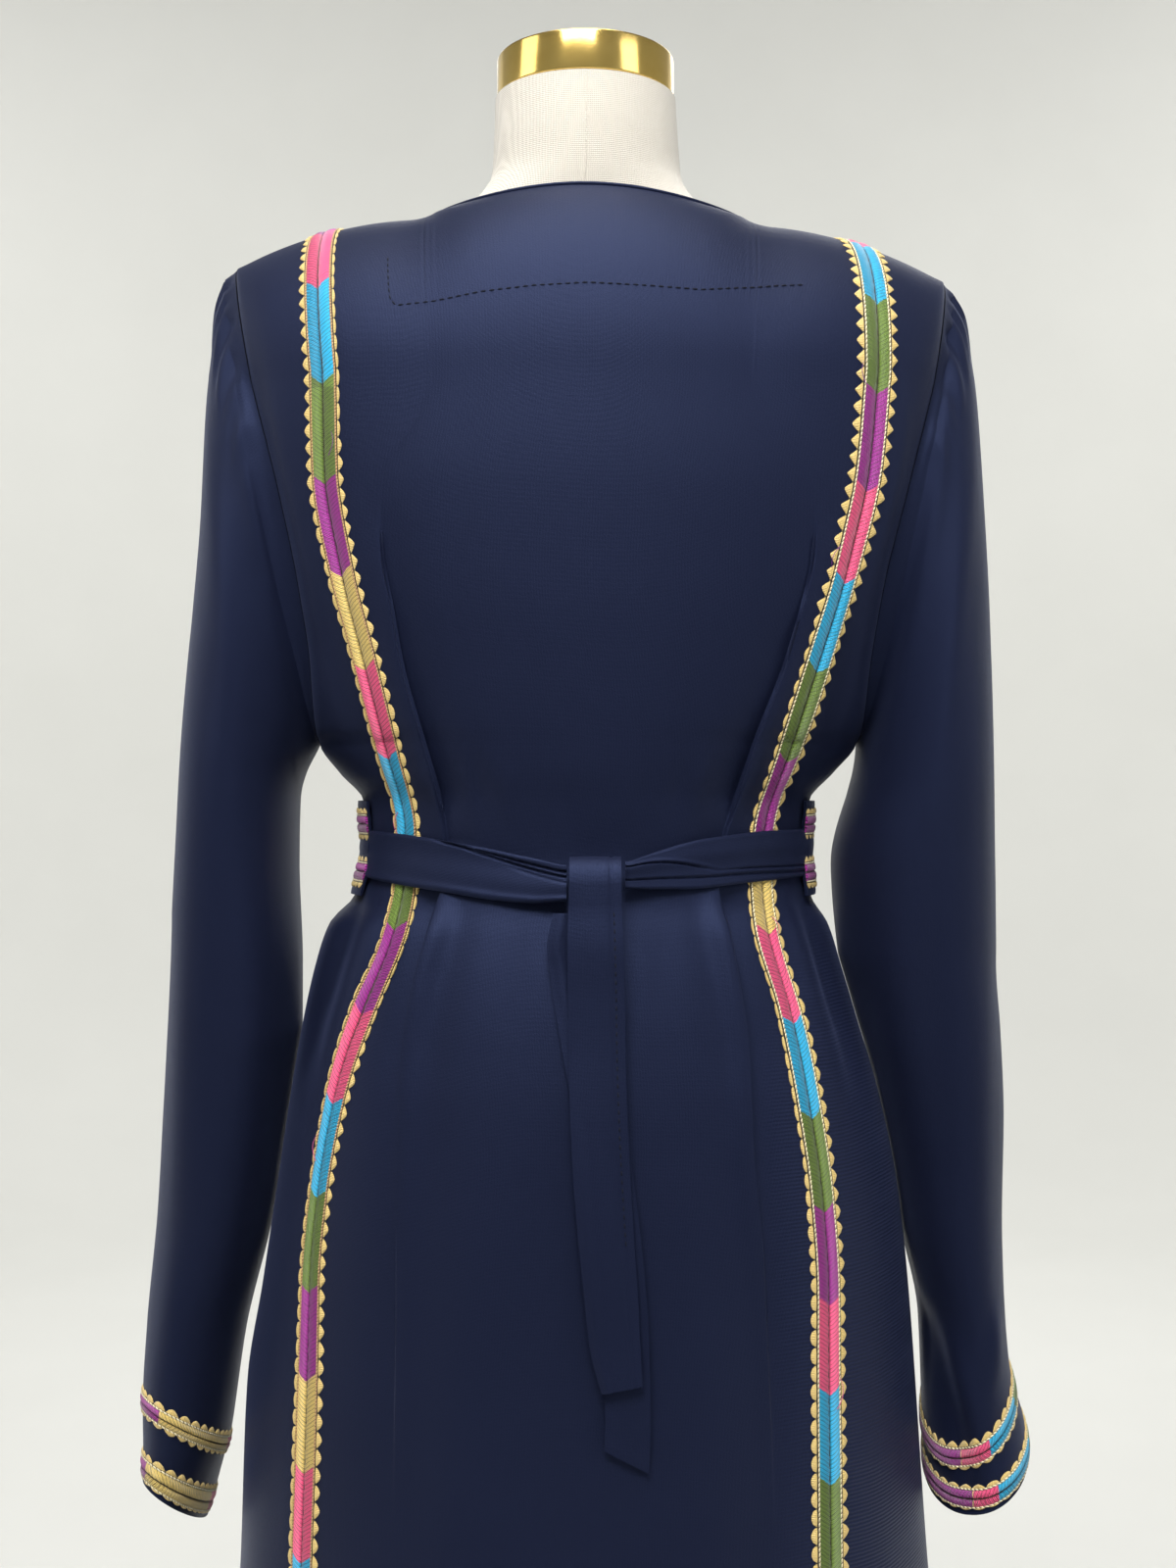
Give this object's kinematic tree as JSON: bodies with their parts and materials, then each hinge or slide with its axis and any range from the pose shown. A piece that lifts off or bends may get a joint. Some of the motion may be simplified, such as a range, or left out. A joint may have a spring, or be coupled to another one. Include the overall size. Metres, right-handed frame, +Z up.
{
  "type": "embroidered thobe on a dress form",
  "caption": "Long navy thobe with embroidered bands down the body, round the cuffs and on its tied belt, worn by a limbless dress form on a round stand.",
  "frame": {"origin": "centre of the stand's underside, on the floor", "axes": "+Z up; -Y the wearer's back, where the belt is tied; +X the wearer's right"},
  "size_m": [0.4848, 0.4052, 1.4778],
  "materials": {
    "navy_cloth": "matt crepe with a soft sheen",
    "navy_belt": "matt crepe with a soft sheen",
    "embroidery": "satin stitch in pink, blue, green, violet and gold with gold edging",
    "cuff_embroidery": "satin stitch in gold, violet, pink and blue with gold edging",
    "belt_embroidery": "satin stitch in violet, pink, blue and gold with gold edging",
    "linen": "plain cream linen",
    "gold_metal": "polished gold-coloured metal"
  },
  "bodies": {
    "root": {"back_panel": "navy_cloth", "front_panel": "navy_cloth", "sleeve_left": "navy_cloth", "sleeve_right": "navy_cloth", "belt_front": "navy_belt", "belt_tie_left": "navy_belt", "belt_tie_right": "navy_belt", "belt_knot": "navy_belt", "belt_tail_over": "navy_belt", "belt_tail_under": "navy_belt", "back_band_left": "embroidery", "back_band_right": "embroidery", "front_band_left": "embroidery", "front_band_right": "embroidery", "cuff_band_upper_left": "cuff_embroidery", "cuff_band_lower_left": "cuff_embroidery", "cuff_band_upper_right": "cuff_embroidery", "cuff_band_lower_right": "cuff_embroidery", "belt_band_lower": "belt_embroidery", "belt_band_upper": "belt_embroidery", "form_body": "linen", "neck_cap": "gold_metal", "stand_disc": "gold_metal", "stand_pole": "gold_metal", "stand_base": "gold_metal"}
  },
  "joints": []
}
